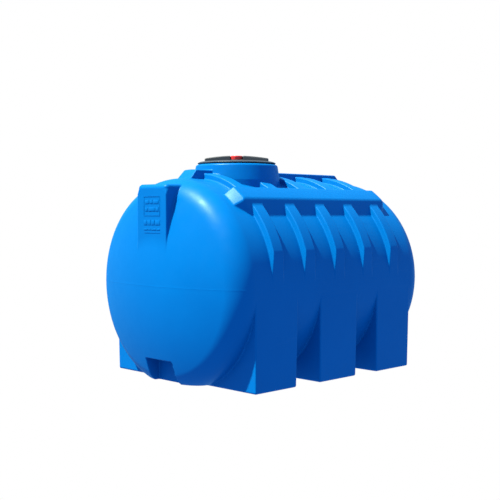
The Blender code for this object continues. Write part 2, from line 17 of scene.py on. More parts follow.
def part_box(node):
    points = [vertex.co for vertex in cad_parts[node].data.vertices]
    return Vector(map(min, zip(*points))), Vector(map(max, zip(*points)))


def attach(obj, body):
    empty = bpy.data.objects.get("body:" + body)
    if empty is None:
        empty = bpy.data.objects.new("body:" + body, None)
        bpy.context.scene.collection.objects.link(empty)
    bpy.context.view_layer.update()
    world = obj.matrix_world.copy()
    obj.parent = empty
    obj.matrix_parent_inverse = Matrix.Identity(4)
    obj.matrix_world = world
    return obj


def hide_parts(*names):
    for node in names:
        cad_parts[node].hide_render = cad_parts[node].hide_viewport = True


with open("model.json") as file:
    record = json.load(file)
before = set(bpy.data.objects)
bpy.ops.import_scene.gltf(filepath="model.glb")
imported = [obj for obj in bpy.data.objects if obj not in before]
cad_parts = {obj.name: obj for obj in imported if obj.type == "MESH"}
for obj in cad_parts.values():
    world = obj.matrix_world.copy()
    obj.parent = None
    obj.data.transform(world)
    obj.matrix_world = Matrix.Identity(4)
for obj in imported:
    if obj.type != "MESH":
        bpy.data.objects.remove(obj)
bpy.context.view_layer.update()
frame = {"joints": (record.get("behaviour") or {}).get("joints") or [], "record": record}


# ---- sizes, in metres -----------------------------------------------------------------------------

SHELL_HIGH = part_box("tank_shell")[1]
MOUNTS = {mount["name"]: mount for mount in frame["record"]["mounts"]}
NECK_Y = frame["joints"][0]["pos_m"][1]
NECK_TOP = SHELL_HIGH[2]
APEX_Y = SHELL_HIGH[1]

GAP = 0.0003  # between touching pieces
WALL = 0.0065
BARREL_A, BARREL_B, BARREL_Z = 0.605, 0.596, 0.555
DISH_RADIUS, KNUCKLE_RADIUS = 1.516, 0.145
DISH_Y = APEX_Y - DISH_RADIUS
KNUCKLE_OUT = BARREL_A - KNUCKLE_RADIUS
KNUCKLE_Y = DISH_Y + math.sqrt((DISH_RADIUS - KNUCKLE_RADIUS) ** 2 - KNUCKLE_OUT**2)
UNDERSIDE_Z = 0.004

FOOT_HALF = (0.5955, 0.1585)
FOOT_PITCH = 0.514
FOOT_TOP_Z = BARREL_Z
FOOT_DRAFT = math.tan(math.radians(0.75))
TANGENT_X, TANGENT_SPAN = 0.565, 0.030  # where the feet run tangent into the barrel

RIB_PITCH, RIB_HEIGHT = 0.2557, 0.033
RIB_BASE, RIB_CREST = 0.044, 0.039
RIB_END = ((0.6035, 0.613), (0.610, 0.714))  # (x, z) of the sloping lower end
RIB_LOW_Z = 0.58

RAIL_HEIGHT, RAIL_BASE_Y, RAIL_CREST_Y = 0.054, 0.657, 0.606
CROWN_RAIL = (0.060, 0.054)
CROWN_RAIL_LOW_Z, SIDE_RAIL_LOW_Z = 0.9, 0.8
RAIL_ROOT = 0.04  # how deep the rails reach into the barrel
SIDE_RAIL_INNER = ((0.331, 1.056), (0.354, 1.095))  # two (x, z) points on each flank
SIDE_RAIL_OUTER = ((0.462, 0.938), (0.4405, 1.038))
SIDE_RAIL_FACET = ((0.4053, 0.661, 0.9975), (0.461, 0.5685, 0.9398), (0.441, 0.619, 1.0403))

NECK_RADII = (0.257, 0.2435)
NECK_BASE_Z, NECK_ROOT_Z = 1.150, 1.02
MOUTH_RADIUS = 0.2035
SLEEVE_RADIUS, SLEEVE_DEPTH = 0.2165, 0.048
THREAD_PITCH, THREAD_HEIGHT, GROOVE_TURNS = 0.012, 0.005, 4.25

BOSS_HALF, BOSS_TOP_Z, BOSS_LOW_Z = 0.1264, 1.115, 0.60
BOSS_BACK_Y, BOSS_TOP_EDGE = -0.55, 0.022
BOSS_FACE_Y = MOUNTS["label_face"]["pos_m"][1]
RECESS_HALF, RECESS_TOP_Z = 0.113, 0.140
RECESS_Y = MOUNTS["outlet_face"]["pos_m"][1]

GASKET_LOW, GASKET_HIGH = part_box("lid_gasket")
GASKET_BORE_RADIUS, GASKET_BEND = 0.2095, 0.0008
FLANGE_Z = GASKET_HIGH[2] + GAP
LID_LOW, LID_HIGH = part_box("lid")
FLANGE_RADIUS = LID_HIGH[0]
FLANGE_TOP_Z, FLANGE_RIM, FLANGE_CHAMFER = FLANGE_Z + 0.0140, 0.0065, 0.0150
PLUG_RADIUS, PLUG_WALL = 0.2010, 0.005
LID_PLATE, LID_CENTRE_Z = 0.0045, FLANGE_Z + 0.0190
HUB_RADIUS = 0.045
THREAD_DROP, THREAD_TURNS = 0.028, 1.5
GRIP_ANGLE = math.radians(45)
GRIP_HALF = (0.190, 0.043)
GRIP_CROWN_Z, GRIP_SAG = LID_HIGH[2], 0.016
GRIP_WALL, GRIP_ROOT = 0.004, 0.004
POCKET_RADIUS, POCKET_Z = 0.0385, 1.2735

VENT_TUBE_RADIUS, VENT_HOLE_RADIUS = 0.0215, 0.0168
DISC_TOP, DISC_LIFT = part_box("vent_disc")[1][2], 0.003
CAP_LOW, CAP_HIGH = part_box("vent_cap")
CAP_EDGE_Z, CAP_EDGE_RADIUS = 1.2748, 0.0312
CAP_WALL, CAP_PLATE, CAP_SLEEVE_WALL, CAP_PIN_RADIUS = 0.0020, 0.0050, 0.0022, 0.004

LABEL_LEFT, LABEL_RIGHT, LABEL_RULE = -0.066, 0.074, 0.0030
LABEL_FRAME_TOP_Z, LABEL_FRAME_LOW_Z, LABEL_FOOT_Z = 1.047, 0.942, 0.848
LABEL_PROUD, LABEL_SUNK = 0.0019, 0.0015
LABEL_SPACE = 0.006

EDGE = 0.006  # how far the mould rounds an edge or a junction, unless a feature has its own radius
SOFT_EDGE = 0.008  # the same on the feet, the underside and the recess
SOLE_EDGE, NECK_EDGE, RAIL_END_EDGE, RECESS_EDGE = 0.011, 0.013, 0.005, 0.004
SEAM_HEIGHT, SEAM_WIDTH = 0.0004, 0.0022
COARSE, FINE = 0.014, 0.0036  # the grid steps of the tank's skin, in the open and at edges
HOLLOW_COARSE, HOLLOW_FINE = 0.022, 0.0065
LID_ACROSS, LID_UP = 0.0021, 0.0016  # the lid's grid steps
SKIN_FACES, HOLLOW_FACES, LID_FACES = 130000, 60000, 90000  # kept by each decimation
SAMPLE = 0.0004  # how far either side of a point a field is sampled for its slope
TOUCH = 0.0004  # a mesh point this near a field's zero level is shaded from the field

CAMERA_PLACE, CAMERA_LENS = (3.978, -4.052, 0.9525), 66.1
CAMERA_DIP, CAMERA_TURN = 2.269, 45.389
FLOOR_REACH = 60
SUN_POWER, SUN_WIDTH = 12.7, 1.5
SUN_AZIMUTH, SUN_ELEVATION = -25, 61
SUN_COLOUR = (1.0, 1.0, 0.78)
SKY_COLOUR = (0.22, 0.60, 1.0)
SKY_ABOVE, SKY_BELOW = 0.90, 1.0


# ---- distance fields ------------------------------------------------------------------------------


def join(a, b, radius):
    """The union of two bodies, with a hollow fillet where they meet."""
    corner = np.hypot(np.maximum(radius - a, 0), np.maximum(radius - b, 0))
    return np.maximum(radius, np.minimum(a, b)) - corner


def trim(a, b, radius):
    """What two bodies share, with the edge between them rounded."""
    corner = np.hypot(np.maximum(radius + a, 0), np.maximum(radius + b, 0))
    return np.minimum(-radius, np.maximum(a, b)) + corner


def beyond(x, z, start, end):
    """How far (x, z) lies to the right of the line from start to end."""
    run = Vector(end) - Vector(start)
    return ((x - start[0]) * run.y - (z - start[1]) * run.x) / run.length


def nearest_copy(y, pitch, reach):
    """y measured from the nearest of the copies that stand a pitch apart, up to reach either way."""
    return y - pitch * np.clip(np.round(y / pitch), -reach, reach)


def barrel_height(x, z):
    """Height above the straight barrel, whose section is an ellipse."""
    across, up = x / BARREL_A, (z - BARREL_Z) / BARREL_B
    radius = np.maximum(np.hypot(across, up), 0.05)
    slope = np.hypot(across / BARREL_A, up / BARREL_B) / radius
    return (radius - 1) / slope


def barrel(x, y, z):
    """The barrel with its two heads, a shallow dish and a knuckle each, cut flat below."""
    out = BARREL_A * np.hypot(x / BARREL_A, (z - BARREL_Z) / BARREL_B)
    along = np.abs(y)
    dish = np.hypot(out, along - DISH_Y) - DISH_RADIUS
    sideways, past = out - KNUCKLE_OUT, along - KNUCKLE_Y
    knuckle = np.where(past > 0, np.hypot(sideways, past), sideways) - KNUCKLE_RADIUS
    on_dish = out * (KNUCKLE_Y - DISH_Y) < (along - DISH_Y) * KNUCKLE_OUT
    return trim(np.where(on_dish, dish, knuckle), UNDERSIDE_Z - z, SOFT_EDGE)


def feet(x, y, z):
    near = nearest_copy(y, FOOT_PITCH, 1)
    side = np.abs(x) - FOOT_HALF[0] - FOOT_DRAFT * z
    front = np.abs(near) - FOOT_HALF[1] - FOOT_DRAFT * z
    walls = trim(trim(side, front, SOFT_EDGE), -z, SOLE_EDGE)
    return np.maximum(walls, z - FOOT_TOP_Z)


def ribs(x, y, z):
    height = barrel_height(x, z)
    near = nearest_copy(y, RIB_PITCH, 2)
    taper = (RIB_BASE - RIB_CREST) / RIB_HEIGHT
    flank = np.abs(near) - RIB_BASE + taper * height
    band = trim(height - RIB_HEIGHT, flank, EDGE)
    stop = np.maximum(beyond(np.abs(x), z, *RIB_END), np.abs(x) - RIB_END[1][0])
    return np.maximum(trim(band, stop, EDGE), RIB_LOW_Z - z)


def rails(x, y, z):
    height = barrel_height(x, z)
    side, along = np.abs(x), np.abs(y)
    taper = (CROWN_RAIL[0] - CROWN_RAIL[1]) / RAIL_HEIGHT
    crown = np.maximum(side - CROWN_RAIL[0] + taper * height, CROWN_RAIL_LOW_Z - z)
    inner = -beyond(side, z, *SIDE_RAIL_INNER)
    outer = beyond(side, z, *SIDE_RAIL_OUTER)
    a, b, c = [Vector(corner) for corner in SIDE_RAIL_FACET]
    normal = (b - a).cross(c - a).normalized()
    normal *= math.copysign(1, normal.x)
    facet = (side - a.x) * normal.x + (along - a.y) * normal.y + (z - a.z) * normal.z
    inner = np.maximum(inner, SIDE_RAIL_LOW_Z - z)
    shoulder = trim(trim(inner, outer, EDGE), facet, EDGE)
    both = np.minimum(crown, shoulder)
    slope = (RAIL_BASE_Y - RAIL_CREST_Y) / RAIL_HEIGHT
    ends = (along - RAIL_BASE_Y + slope * height) / math.hypot(1, slope)
    proud = trim(trim(both, height - RAIL_HEIGHT, EDGE), ends, RAIL_END_EDGE)
    return np.maximum(proud, -RAIL_ROOT - height)


def neck(x, y, z):
    radius = np.hypot(x, y - NECK_Y)
    taper = (NECK_RADII[0] - NECK_RADII[1]) / (NECK_TOP - NECK_BASE_Z)
    wall = radius - NECK_RADII[0] + taper * np.maximum(z - NECK_BASE_Z, 0)
    return np.maximum(trim(wall, z - NECK_TOP, NECK_EDGE), NECK_ROOT_Z - z)


def boss(x, y, z):
    """The label boss: crisp upright edges that soften towards its top."""
    rise = np.clip((z - BOSS_TOP_Z + 0.055) / 0.030, 0, 1)
    outline = trim(np.abs(x) - BOSS_HALF, z - BOSS_TOP_Z, BOSS_TOP_EDGE)
    front = trim(outline, BOSS_FACE_Y - y, EDGE + 0.020 * rise)
    return np.maximum(np.maximum(front, y - BOSS_BACK_Y), BOSS_LOW_Z - z)


def recess(x, y, z):
    opening = trim(np.abs(x) - RECESS_HALF, z - RECESS_TOP_Z, SOFT_EDGE)
    return trim(opening, y - RECESS_Y, EDGE)


def tank(x, y, z, inset=0.0):
    """How far a point lies outside the tank's skin, or outside the same drawn in by an inset.

    The feet meet the barrel at a tangent near its widest point, so their fillet narrows there.
    """
    tangent = np.clip((np.abs(x) - TANGENT_X) / TANGENT_SPAN, 0, 1)
    made = join(barrel(x, y, z) + inset, feet(x, y, z) + inset, EDGE - 0.005 * tangent + inset)
    for feature, radius in ((ribs, EDGE), (rails, EDGE), (boss, 0.005), (neck, EDGE)):
        made = join(made, feature(x, y, z) + inset, radius + inset)
    made = trim(made, inset - recess(x, y, z), RECESS_EDGE)
    return made - SEAM_HEIGHT * np.exp(-(((z - BARREL_Z) / SEAM_WIDTH) ** 2))


def thread_turns(x, y, z, start, turns):
    """How far z lies from the middle of a right-hand thread that starts at height start on the +X side."""
    turned = np.mod(np.arctan2(y, x) / (2 * math.pi), 1.0)
    place = (z - start) / THREAD_PITCH - turned
    nearest = np.clip(np.round(place), 0, np.maximum(np.floor(turns - turned), 0))
    return np.abs(place - nearest) * THREAD_PITCH + np.where(turned > turns, 1.0, 0.0)


def neck_hole(x, y, z):
    """The mouth inside the neck's sleeve, with the groove that the lid's thread runs in."""
    across, radius = y - NECK_Y, np.hypot(x, y - NECK_Y)
    start = FLANGE_Z - THREAD_DROP - THREAD_PITCH / 2
    away = thread_turns(-x, -across, z, start, GROOVE_TURNS)
    depth = radius - MOUTH_RADIUS
    flank = away - 0.0050 + 0.6 * np.maximum(depth, 0)
    groove = np.maximum(np.maximum(depth - THREAD_HEIGHT, flank), NECK_TOP - SLEEVE_DEPTH - z)
    return np.maximum(np.minimum(depth, groove), z - NECK_TOP - 0.015)


def cavity(x, y, z):
    """The hollow: the tank drawn in by its wall, less the neck's sleeve, and the mouth above it."""
    radius = np.hypot(x, y - NECK_Y)
    sleeve = np.maximum(radius - SLEEVE_RADIUS, NECK_TOP - SLEEVE_DEPTH - z)
    inside = np.maximum(tank(x, y, z, WALL), -sleeve)
    shaft = np.maximum(neck_hole(x, y, z), NECK_TOP - SLEEVE_DEPTH - 0.02 - z)
    return np.minimum(inside, shaft)


def pocket(x, y, z, grown):
    """The vent's pocket in the grip bar, round at the back and open at the front."""
    wall = np.where(y < 0, np.abs(x), np.hypot(x, y)) - POCKET_RADIUS
    return trim(wall - grown, POCKET_Z - grown - z, 0.003)


def grip(x, y, z, inset):
    """The grip bar: its crest falls away from the middle to both ends."""
    crest = GRIP_CROWN_Z - GRIP_SAG * (x / GRIP_HALF[0]) ** 2 - inset
    end = np.abs(x) - GRIP_HALF[0] + inset
    side = np.abs(y) - GRIP_HALF[1] + inset
    bar = trim(trim(end, side, 0.009), z - crest, 0.007)
    return np.maximum(bar, FLANGE_Z - GRIP_ROOT - z)


def lid(x, y, z):
    """The lid, with x along its grip bar, y across it and the lid's axis in the middle."""
    radius = np.hypot(x, y)

    # the plate: a thin rim, undercut below and chamfered above, and a top that climbs to the hub
    rim = trim(radius - FLANGE_RADIUS, FLANGE_Z - z, 0.0010)
    undercut = ((radius - FLANGE_RADIUS) * 0.8 + (FLANGE_Z + FLANGE_RIM - z) * 0.6) - 0.0006
    fall = FLANGE_TOP_Z - FLANGE_Z - FLANGE_RIM
    slant = (radius - FLANGE_RADIUS) * fall + (z - FLANGE_Z - FLANGE_RIM) * FLANGE_CHAMFER
    chamfer = slant / math.hypot(fall, FLANGE_CHAMFER)
    reach = FLANGE_RADIUS - FLANGE_CHAMFER
    climb = (LID_CENTRE_Z - FLANGE_TOP_Z) / (reach - HUB_RADIUS)
    top = FLANGE_TOP_Z + climb * (reach - np.clip(radius, HUB_RADIUS, None))
    plate = trim(trim(trim(rim, undercut, 0.0012), chamfer, 0.0015), z - top, 0.003)

    # the plug, with its thread standing 6 mm proud
    plug = trim(radius - PLUG_RADIUS, LID_LOW[2] - z, 0.0015)
    away = thread_turns(*to_world(x, y), z, FLANGE_Z - THREAD_DROP, THREAD_TURNS)
    depth = radius - PLUG_RADIUS
    ridge = np.maximum(np.maximum(away - 0.0031 + 0.24 * depth, depth - 0.0060), -0.002 - depth)
    plug = np.minimum(np.maximum(plug, z - FLANGE_Z - 0.003), ridge)

    # the grip bar with the vent's pocket, the hollows below, and the vent's hole
    made = np.minimum(plate, plug)
    made = join(made, grip(x, y, z, 0.0), 0.005)
    made = trim(made, -pocket(x, y, z, 0.0), 0.0015)
    cup = np.maximum(radius - PLUG_RADIUS + PLUG_WALL, z - top + LID_PLATE)
    hollow = np.maximum(grip(x, y, z, GRIP_WALL), -pocket(x, y, z, GRIP_WALL))
    made = trim(made, -np.minimum(cup, hollow), 0.0012)
    return np.maximum(made, VENT_HOLE_RADIUS - radius)


def to_world(x, y):
    """Lid coordinates turned so that x points along +X, as on the neck."""
    c, s = math.cos(GRIP_ANGLE), math.sin(GRIP_ANGLE)
    return c * x - s * y, s * x + c * y


# ---- wrapping a mesh on a field -------------------------------------------------------------------


def graded(low, high, coarse, spots):
    """Grid lines from low to high, coarse apart, and finer round each (centre, reach, step)."""
    tick = 0.0005
    at = np.arange(low, high, tick)
    spacing = np.full_like(at, coarse)
    for centre, reach, step in spots:
        away = np.maximum(np.abs(at - centre) - reach, 0)
        spacing = np.minimum(spacing, step + 0.4 * away)
    count = np.concatenate([[0], np.cumsum(tick / spacing[:-1])])
    return np.interp(np.linspace(0, count[-1], int(count[-1]) + 2), count, at)


def gradient(field, points):
    slopes = []
    for axis in range(3):
        shift = np.zeros(3)
        shift[axis] = SAMPLE
        ahead = field(*(points + shift).T)
        behind = field(*(points - shift).T)
        slopes.append((ahead - behind) / (2 * SAMPLE))
    return np.stack(slopes, axis=1)


def settle(field, points, rounds=3, reach=0.004):
    """Move points onto the field's zero level, no further than reach at a time."""
    for _ in range(rounds):
        slope = gradient(field, points)
        steep = np.maximum((slope**2).sum(axis=1), 0.05)
        move = -slope * (field(*points.T) / steep)[:, None]
        length = np.linalg.norm(move, axis=1, keepdims=True)
        points = points + move * np.minimum(1, reach / np.maximum(length, 1e-9))
    return points


def wrap(field, lines):
    """Surface nets: one vertex in each grid cell the surface crosses, one quad round each crossed edge."""
    grid = [axis.astype(np.float32) for axis in lines]
    x, y, z = grid[0][:, None, None], grid[1][None, :, None], grid[2][None, None, :]
    values = field(x, y, z)
    inside = values < 0
    cells = [len(axis) - 1 for axis in lines]
    total = np.zeros((cells[0] * cells[1] * cells[2], 3))
    hits = np.zeros(len(total))
    quads = []
    for axis in range(3):
        lower = [slice(None)] * 3
        upper = [slice(None)] * 3
        lower[axis], upper[axis] = slice(None, -1), slice(1, None)
        crossed = np.argwhere(inside[tuple(lower)] != inside[tuple(upper)])
        first = values[tuple(lower)][tuple(crossed.T)]
        second = values[tuple(upper)][tuple(crossed.T)]
        point = np.stack([lines[i][crossed[:, i]] for i in range(3)], axis=1)
        length = np.diff(lines[axis])[crossed[:, axis]]
        point[:, axis] += length * first / (first - second)
        b, c = (axis + 1) % 3, (axis + 2) % 3
        corners = []
        for step_b, step_c in ((-1, -1), (0, -1), (0, 0), (-1, 0)):
            cell = crossed.copy()
            cell[:, b] += step_b
            cell[:, c] += step_c
            index = (cell[:, 0] * cells[1] + cell[:, 1]) * cells[2] + cell[:, 2]
            corners.append(index)
            for i in range(3):
                total[:, i] += np.bincount(index, point[:, i], len(total))
            hits += np.bincount(index, minlength=len(total))
        quad = np.stack(corners, axis=1)
        leaving = inside[tuple(lower)][tuple(crossed.T)]
        quad[~leaving] = quad[~leaving][:, ::-1]
        quads.append(quad)
    used = np.flatnonzero(hits)
    number = np.zeros(len(total), np.int64)
    number[used] = np.arange(len(used))
    points = total[used] / hits[used][:, None]
    return points, number[np.concatenate(quads)]


def mesh_from(name, points, faces):
    mesh = bpy.data.meshes.new(name)
    mesh.from_pydata(points.tolist(), [], faces.tolist())
    mesh.update()
    return mesh


def both_sides(away, reach, step, middle=0.0):
    """The same spot for graded on either side of a middle, away from it."""
    return [(middle + side * away, reach, step) for side in (-1, 1)]


def tank_spots(fine):
    """Where the grid lines crowd along X, Y and Z: at the edges of ribs, rails, feet, boss and neck."""
    x_spots = both_sides(FOOT_HALF[0] + 0.008, 0.012, fine)
    x_spots += both_sides((SIDE_RAIL_INNER[0][0] + SIDE_RAIL_OUTER[0][0]) / 2, 0.070, 1.6 * fine)
    x_spots += both_sides(CROWN_RAIL[0], 0.010, fine)
    x_spots += both_sides((BOSS_HALF + RECESS_HALF) / 2, 0.022, 1.2 * fine)
    x_spots += both_sides(NECK_RADII[1] + 0.006, 0.012, 1.2 * fine)
    y_spots = [(BOSS_FACE_Y + 0.012, 0.015, fine), (RECESS_Y, 0.010, 1.2 * fine)]
    y_spots += both_sides((RAIL_BASE_Y + RAIL_CREST_Y) / 2, 0.035, 1.5 * fine)
    for i in (-2, -1, 0, 1, 2):
        y_spots += both_sides(RIB_CREST + 0.002, 0.010, fine, i * RIB_PITCH)
    for i in (-1, 0, 1):
        y_spots += both_sides(FOOT_HALF[1] + 0.0035, 0.014, 1.2 * fine, i * FOOT_PITCH)
    y_spots += both_sides(NECK_RADII[1] + 0.0065, 0.012, 1.2 * fine, NECK_Y)
    z_spots = [
        (0.006, 0.012, fine),  # the soles and the underside
        (RECESS_TOP_Z, 0.012, 1.2 * fine),
        (BARREL_Z, 0.003, 0.4 * fine),
        (0.665, 0.070, 1.8 * fine),  # the ribs' lower ends
        (1.020, 0.090, 1.6 * fine),  # the side rails
        (1.105, 0.015, 1.2 * fine),  # the boss's top
        (1.168, 0.030, 1.1 * fine),  # the crown and the neck's foot
        (NECK_TOP - 0.008, 0.010, 0.8 * fine),
    ]
    return x_spots, y_spots, z_spots


def tank_lines(coarse, fine, extra=((), (), ())):
    lows, highs = (-0.64, -0.94, -0.02), (0.64, 0.94, NECK_TOP + 0.03)
    spots = [[*usual, *more] for usual, more in zip(tank_spots(fine), extra)]
    return [graded(low, high, coarse, crowd) for low, high, crowd in zip(lows, highs, spots)]


def cavity_lines():
    """Grid lines for the hollow, even and fine round the neck's mouth and its thread."""
    edge = MOUTH_RADIUS / 2 + 0.006
    across = both_sides(edge, edge, FINE)
    along = both_sides(edge, edge, FINE, NECK_Y)
    thread = [(NECK_TOP - 0.022, 0.036, 0.0024)]
    return tank_lines(HOLLOW_COARSE, HOLLOW_FINE, (across, along, thread))


def lid_lines():
    """Grid lines for the lid, even all over: it has fine edges everywhere."""
    across = np.arange(-0.245, 0.246, LID_ACROSS)
    return across, across, np.arange(LID_LOW[2] - 0.008, GRIP_CROWN_Z + 0.008, LID_UP)


# ---- mesh tools -----------------------------------------------------------------------------------


def add_object(name, mesh):
    made = bpy.data.objects.new(name, mesh)
    bpy.context.scene.collection.objects.link(made)
    return made


def take_evaluated(item):
    """Replace the object's mesh by its evaluated one and drop its modifiers."""
    graph = bpy.context.evaluated_depsgraph_get()
    mesh = bpy.data.meshes.new_from_object(item.evaluated_get(graph), depsgraph=graph)
    item.modifiers.clear()
    item.data = mesh


def read_points(mesh):
    flat = np.empty(3 * len(mesh.vertices))
    mesh.vertices.foreach_get("co", flat)
    return flat.reshape(-1, 3)


def wrapped(name, field, lines, faces_wanted):
    """A closed mesh on a field's zero level, thinned where the surface is plain."""
    points, faces = wrap(field, lines)
    item = add_object(name, mesh_from(name, settle(field, points), faces))
    thin = item.modifiers.new("thin", "DECIMATE")
    thin.ratio = min(1.0, faces_wanted / (2 * len(faces)))
    take_evaluated(item)
    return item


def cut(target, tool):
    """Take the tool away from the target. Both are closed, and the manifold solver is the quick one."""
    step = target.modifiers.new("cut", "BOOLEAN")
    step.operation = "DIFFERENCE"
    step.solver = "MANIFOLD"
    step.object = tool
    take_evaluated(target)
    bpy.data.objects.remove(tool, do_unlink=True)


def shade_from(item, field):
    """Smooth shading that follows the field itself wherever the mesh lies on it."""
    mesh = item.data
    mesh.shade_smooth()
    mesh.set_sharp_from_angle(angle=math.radians(42))
    points = read_points(mesh)
    slope = gradient(field, points)
    slope /= np.maximum(np.linalg.norm(slope, axis=1, keepdims=True), 1e-9)
    near = np.abs(field(*points.T)) < TOUCH
    corner = np.empty(len(mesh.loops), np.int32)
    mesh.loops.foreach_get("vertex_index", corner)
    flat = np.empty(3 * len(mesh.polygons))
    mesh.polygons.foreach_get("normal", flat)
    sizes = np.empty(len(mesh.polygons), np.int32)
    mesh.polygons.foreach_get("loop_total", sizes)
    facing = np.repeat(flat.reshape(-1, 3), sizes, axis=0)
    agree = (facing * slope[corner]).sum(axis=1) > 0.6
    own = np.where((near[corner] & agree)[:, None], slope[corner], 0.0)
    mesh.normals_split_custom_set(own.tolist())


def turned(name, profile, steps):
    """A body turned about the neck's axis from (radius, z) points that run down its outer side."""
    work = bmesh.new()
    verts = [work.verts.new((radius, 0.0, z)) for radius, z in profile]
    for first, second in zip(verts, verts[1:]):
        work.edges.new((first, second))
    if profile[0][0] > 0:
        work.edges.new((verts[-1], verts[0]))
    around = {"cent": (0, 0, 0), "axis": (0, 0, 1), "angle": 2 * math.pi, "steps": steps, "use_merge": True}
    bmesh.ops.spin(work, geom=work.verts[:] + work.edges[:], **around)
    bmesh.ops.remove_doubles(work, verts=work.verts, dist=0.00002)
    bmesh.ops.recalc_face_normals(work, faces=work.faces)
    bmesh.ops.translate(work, vec=(0.0, NECK_Y, 0.0), verts=work.verts)
    mesh = bpy.data.meshes.new(name)
    work.to_mesh(mesh)
    work.free()
    mesh.shade_smooth()
    mesh.set_sharp_from_angle(angle=math.radians(32))
    return add_object(name, mesh)


def arc(centre, radius, start, end, steps=6):
    """(Radius, z) points on an arc, in degrees from the outward direction."""
    angles = [math.radians(start + (end - start) * i / steps) for i in range(steps + 1)]
    return [(centre[0] + radius * math.cos(a), centre[1] + radius * math.sin(a)) for a in angles]


# ---- materials ------------------------------------------------------------------------------------


class Surface:
    """A Principled material with helpers for its few procedural layers."""

    def __init__(self, name):
        self.material = bpy.data.materials.new(name)
        self.material.use_nodes = True
        self.nodes = self.material.node_tree.nodes
        self.links = self.material.node_tree.links
        self.shader = self.nodes["Principled BSDF"]
        self.place = self.nodes.new("ShaderNodeTexCoord").outputs["Object"]
        self.normal = None

    def noise(self, scale, detail=2.0, stretch=(1, 1, 1)):
        mapping = self.nodes.new("ShaderNodeMapping")
        mapping.inputs["Scale"].default_value = stretch
        self.links.new(self.place, mapping.inputs["Vector"])
        texture = self.nodes.new("ShaderNodeTexNoise")
        texture.inputs["Scale"].default_value = scale
        texture.inputs["Detail"].default_value = detail
        self.links.new(mapping.outputs["Vector"], texture.inputs["Vector"])
        return texture.outputs["Fac"]

    def height(self, axis):
        parts = self.nodes.new("ShaderNodeSeparateXYZ")
        self.links.new(self.place, parts.inputs["Vector"])
        return parts.outputs[axis]

    def ranged(self, source, low, high, start=0.35, end=0.65):
        step = self.nodes.new("ShaderNodeMapRange")
        step.inputs["From Min"].default_value = start
        step.inputs["From Max"].default_value = end
        step.inputs["To Min"].default_value = low
        step.inputs["To Max"].default_value = high
        self.links.new(source, step.inputs["Value"])
        return step.outputs["Result"]

    def maths(self, operation, first, second):
        step = self.nodes.new("ShaderNodeMath")
        step.operation = operation
        for socket, value in zip(step.inputs, (first, second)):
            if isinstance(value, float):
                socket.default_value = value
            else:
                self.links.new(value, socket)
        return step.outputs["Value"]

    def mix(self, share, first, second):
        step = self.nodes.new("ShaderNodeMix")
        step.data_type = "RGBA"
        self.links.new(share, step.inputs["Factor"])
        for socket, value in ((step.inputs[6], first), (step.inputs[7], second)):
            if isinstance(value, tuple):
                socket.default_value = (*value, 1.0)
            else:
                self.links.new(value, socket)
        return step.outputs[2]

    def bump(self, source, distance):
        step = self.nodes.new("ShaderNodeBump")
        step.inputs["Strength"].default_value = 1.0
        step.inputs["Distance"].default_value = distance
        self.links.new(source, step.inputs["Height"])
        if self.normal:
            self.links.new(self.normal, step.inputs["Normal"])
        self.normal = step.outputs["Normal"]

    def finish(self, colour, roughness, specular=0.5, tint=(1, 1, 1)):
        self.links.new(colour, self.shader.inputs["Base Color"])
        self.links.new(roughness, self.shader.inputs["Roughness"])
        self.shader.inputs["Specular IOR Level"].default_value = specular
        self.shader.inputs["Specular Tint"].default_value = (*tint, 1.0)
        if self.normal:
            self.links.new(self.normal, self.shader.inputs["Normal"])
        return self.material


def moulded_blue():
    """Rotationally moulded polyethylene: slightly cloudy, with a soft waviness and a fine peel."""
    made = Surface("tank_blue")
    cloud = made.ranged(made.noise(2.6, 4.0), 0.0, 1.0, 0.30, 0.70)
    tone = made.mix(cloud, (0.0, 0.099, 0.340), (0.0, 0.110, 0.365))
    fleck = made.ranged(made.noise(300.0, 2.0), 0.0, 0.5)
    tone = made.mix(fleck, tone, (0.0, 0.115, 0.380))
    # noisy patches that make the blue darker and a touch greyer towards the bottom, fading out by 0.16 m
    bottom_patches = made.ranged(made.noise(34.0, 5.0), 0.0, 1.0, 0.50, 0.75)
    low = made.ranged(made.height("Z"), 0.30, 0.0, 0.0, 0.16)
    tone = made.mix(made.maths("MULTIPLY", bottom_patches, low), tone, (0.008, 0.098, 0.30))
    made.bump(made.noise(7.0, 2.0), 0.0009)
    made.bump(made.noise(60.0, 2.0), 0.00010)
    made.bump(made.noise(520.0, 1.0), 0.000035)
    roughness = made.ranged(made.noise(18.0, 4.0), 0.34, 0.42)
    return made.finish(tone, roughness, 0.12, (0.45, 0.80, 1.0))


def lid_plastic():
    """Injection-moulded polypropylene in slate black, with fine grain and a few rubbed patches."""
    made = Surface("lid_black")
    cloud = made.ranged(made.noise(9.0, 3.0), 0.0, 1.0)
    tone = made.mix(cloud, (0.038, 0.037, 0.044), (0.046, 0.045, 0.053))
    rubbed = made.ranged(made.noise(60.0, 6.0, (1, 1, 3)), 0.0, 0.35, 0.60, 0.72)
    tone = made.mix(rubbed, tone, (0.070, 0.078, 0.092))
    made.bump(made.noise(900.0, 2.0), 0.00006)
    made.bump(made.noise(24.0, 2.0), 0.00012)
    roughness = made.ranged(made.noise(40.0, 3.0), 0.40, 0.52)
    return made.finish(tone, roughness, 0.35)


def rubber():
    made = Surface("rubber_black")
    bloom = made.ranged(made.noise(120.0, 3.0), 0.0, 1.0)
    tone = made.mix(bloom, (0.006, 0.006, 0.007), (0.012, 0.012, 0.013))
    made.bump(made.noise(1400.0, 2.0), 0.00008)
    return made.finish(tone, made.ranged(made.noise(200.0), 0.70, 0.85), 0.30)


